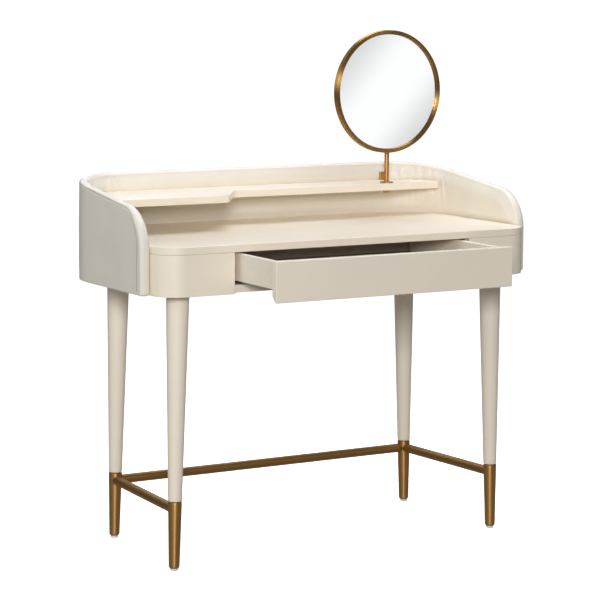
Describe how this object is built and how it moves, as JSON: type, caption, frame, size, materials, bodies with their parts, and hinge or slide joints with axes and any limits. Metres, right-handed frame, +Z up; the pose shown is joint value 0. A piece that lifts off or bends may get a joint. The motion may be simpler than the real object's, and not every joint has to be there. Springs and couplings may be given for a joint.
{
  "type": "dressing table",
  "caption": "Dressing table with a drawer, a stepped shelf inside a padded surround, a round swivelling mirror and splayed legs joined by brass stretchers.",
  "frame": {"origin": "on the floor under the middle of the whole outline, with the drawer drawn out 182 mm as at rest", "axes": "+X to the right seen from the front, +Y to the back, +Z up"},
  "size_m": [1.065, 0.698, 1.2325],
  "materials": {
    "lacquer": "cream satin lacquer",
    "board": "raw board",
    "drawer_board": "cream satin foil",
    "leather": "cream grained upholstery",
    "brass": "brushed",
    "steel": "zinc plated",
    "mirror": "silvered",
    "back_plate": "satin",
    "glide": "moulded"
  },
  "bodies": {
    "table": {"worktop": "lacquer", "bottom_panel": "lacquer", "left_fascia": "lacquer", "right_fascia": "lacquer", "left_side_rail": "board", "right_side_rail": "board", "left_partition": "board", "right_partition": "board", "back_rail": "board", "gallery_core": "board", "gallery_inner_pad": "leather", "gallery_outer_cover": "leather", "gallery_border_strip": "leather", "shelf": "lacquer", "mirror_flange": "brass", "post_bushing": "brass", "runner_fixed_left": "steel", "runner_fixed_right": "steel", "leg_front_left": "lacquer", "leg_front_right": "lacquer", "leg_back_left": "lacquer", "leg_back_right": "lacquer", "ferrule_front_left": "brass", "ferrule_front_right": "brass", "ferrule_back_left": "brass", "ferrule_back_right": "brass", "glide_front_left": "glide", "glide_front_right": "glide", "glide_back_left": "glide", "glide_back_right": "glide", "stretcher_left": "brass", "stretcher_right": "brass", "stretcher_back": "brass", "leg_hanger_bolts": "steel", "runner_screws": "steel", "flange_screws": "brass", "shelf_screws": "steel", "gallery_screws_left": "steel", "gallery_screws_right": "steel"},
    "drawer": {"drawer_front": "lacquer", "drawer_left_side": "drawer_board", "drawer_right_side": "drawer_board", "drawer_back": "drawer_board", "drawer_bottom": "drawer_board", "runner_moving_left": "steel", "runner_moving_right": "steel"},
    "runner_left": {"runner_middle_left": "steel"},
    "runner_right": {"runner_middle_right": "steel"},
    "mirror": {"post_nut": "brass", "mirror_ring": "brass", "mirror_glass": "mirror", "mirror_back_plate": "back_plate", "mirror_post": "brass", "post_clamp": "brass"}
  },
  "joints": [
    {"name": "drawer_slide", "type": "slide", "parent": "table", "child": "drawer", "axis": [0, -1, 0], "range_m": [-0.182, 0.168]},
    {"name": "runner_left_slide", "type": "slide", "parent": "table", "child": "runner_left", "axis": [0, -1, 0], "range_m": [-0.091, 0.084]},
    {"name": "runner_right_slide", "type": "slide", "parent": "table", "child": "runner_right", "axis": [0, -1, 0], "range_m": [-0.091, 0.084]},
    {"name": "mirror_swivel", "type": "hinge", "parent": "table", "child": "mirror", "pos_m": [0.34, 0.234, 0.845], "axis": [0, 0, 1], "continuous": true}
  ],
  "couplings": [
    {"joint": "runner_left_slide", "follows": "drawer_slide", "ratio": 0.5},
    {"joint": "runner_right_slide", "follows": "drawer_slide", "ratio": 0.5}
  ]
}
